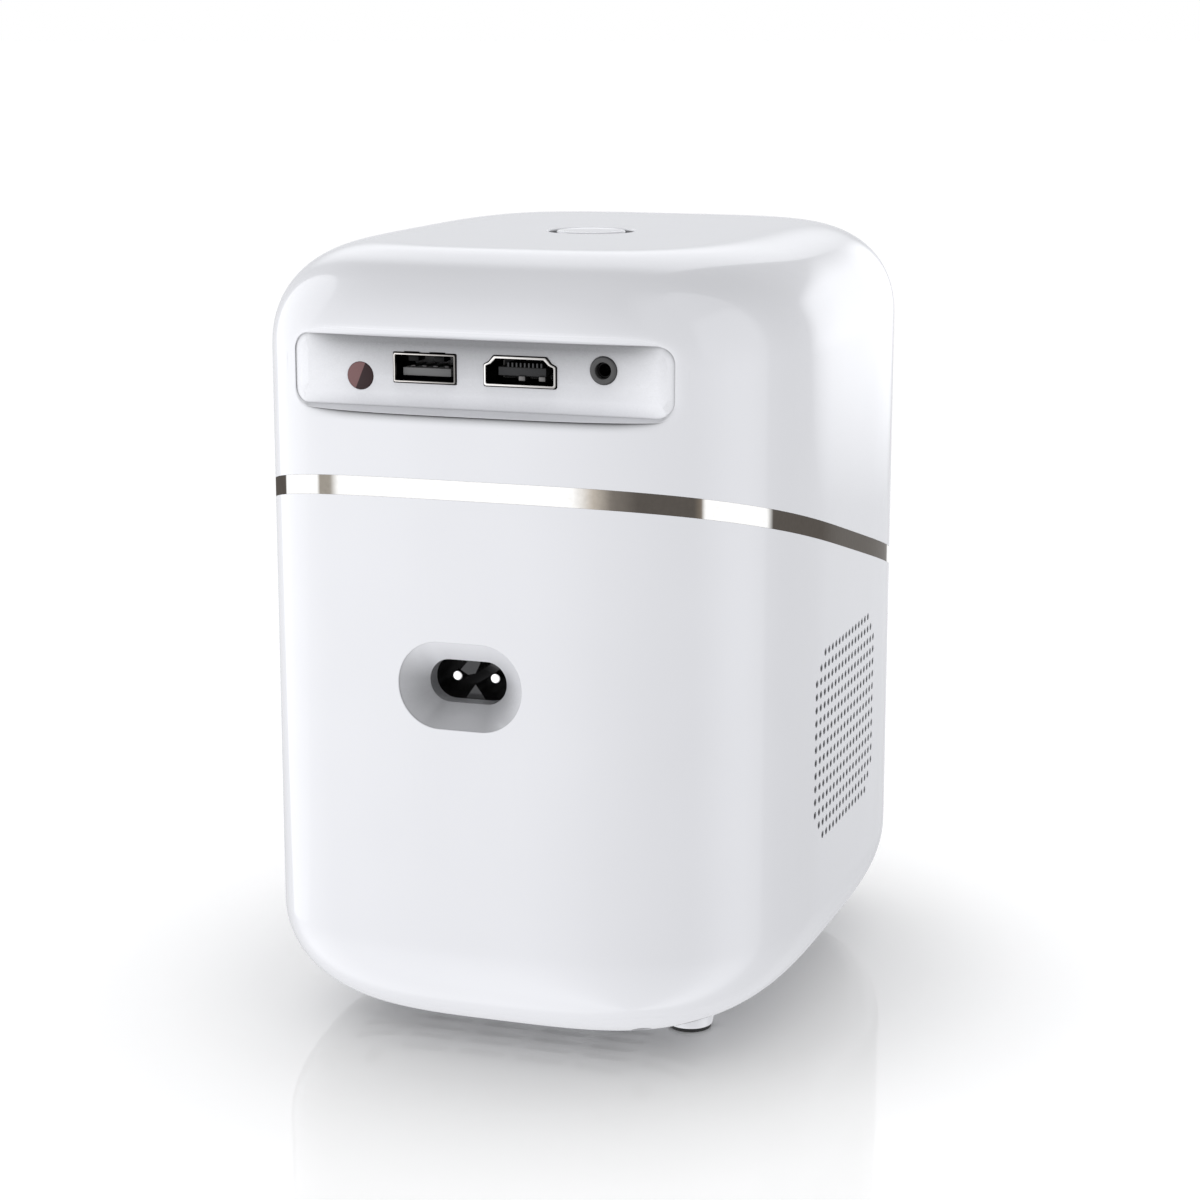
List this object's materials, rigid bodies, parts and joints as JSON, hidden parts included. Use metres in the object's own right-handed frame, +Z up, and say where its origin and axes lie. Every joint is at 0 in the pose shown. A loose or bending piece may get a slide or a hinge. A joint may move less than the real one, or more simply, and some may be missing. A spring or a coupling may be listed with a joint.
{
  "type": "video projector",
  "caption": "Portable upright video projector: white rounded case with a slanting chrome band, socket recess, mains inlet, perforated sides, top button and front lens.",
  "frame": {"origin": "on the table, under the middle of the case", "axes": "+Z up, +Y the way the lens looks, the sockets and the mains inlet face -Y, the fan is on the +X side"},
  "size_m": [0.122, 0.1571, 0.1732],
  "materials": {
    "case_white": "glossy white moulded plastic",
    "chrome_trim": "mirror chrome",
    "socket_steel": "plated sheet steel",
    "pin_nickel": "nickel plate",
    "heat_aluminium": "extruded aluminium",
    "matt_black": "matt black plastic",
    "gloss_black": "glossy black plastic",
    "dark_plastic": "dark grey plastic",
    "contact_plastic": "grey contact carrier plastic",
    "smoked_window": "smoked infrared window",
    "optical_glass": "clear coated glass",
    "circuit_board": "green circuit board",
    "pad_rubber": "black rubber",
    "speaker_paper": "black coated paper"
  },
  "bodies": {
    "projector": {"upper_housing": "case_white", "lower_housing": "case_white", "trim_band": "chrome_trim", "base_plate": "case_white", "foot_pad_front_right": "pad_rubber", "foot_pad_front_left": "pad_rubber", "foot_pad_back_left": "pad_rubber", "foot_pad_back_right": "pad_rubber", "ir_window": "smoked_window", "ir_receiver": "matt_black", "usb_shell": "socket_steel", "usb_tongue": "contact_plastic", "hdmi_shell": "socket_steel", "hdmi_tongue": "matt_black", "av_jack": "dark_plastic", "port_board": "circuit_board", "inlet_socket": "gloss_black", "inlet_pin_left": "pin_nickel", "inlet_pin_right": "pin_nickel", "button_switch": "matt_black", "button_board": "circuit_board", "lens_bezel": "chrome_trim", "lens_barrel": "matt_black", "engine_housing": "matt_black", "fresnel_front": "optical_glass", "lcd_panel": "gloss_black", "fresnel_rear": "optical_glass", "condenser_lens": "optical_glass", "led_module": "heat_aluminium", "heat_sink": "heat_aluminium", "fan_frame": "matt_black", "carrier": "dark_plastic", "main_board": "circuit_board", "power_board": "circuit_board", "transformer": "dark_plastic", "mains_capacitor": "gloss_black", "speaker_basket": "matt_black", "speaker_cone": "speaker_paper", "speaker_magnet": "dark_plastic"},
    "button": {"power_button": "case_white", "switch_plunger": "dark_plastic"},
    "focus_ring": {"focus_ring": "dark_plastic"},
    "lens_carriage": {"lens_cell": "matt_black", "lens_front": "optical_glass", "lens_rear": "optical_glass"},
    "fan_rotor": {"fan_rotor": "dark_plastic"}
  },
  "joints": [
    {"name": "power_button_press", "type": "slide", "parent": "projector", "child": "button", "axis": [0, 0, -1], "range_m": [0, 0.0005], "stiffness_N_per_m": 600, "springref_m": -0.002},
    {"name": "focus_turn", "type": "hinge", "parent": "projector", "child": "focus_ring", "pos_m": [0, 0.07, 0.119], "axis": [0, 1, 0], "range_deg": [-60, 60]},
    {"name": "lens_travel", "type": "slide", "parent": "projector", "child": "lens_carriage", "axis": [0, 1, 0], "range_m": [-0.002, 0.002]},
    {"name": "fan_spin", "type": "hinge", "parent": "projector", "child": "fan_rotor", "pos_m": [0.0485, -0.002, 0.063], "axis": [1, 0, 0], "continuous": true}
  ],
  "couplings": [
    {"joint": "focus_turn", "follows": "lens_travel", "rad_per_m": 523.5}
  ]
}
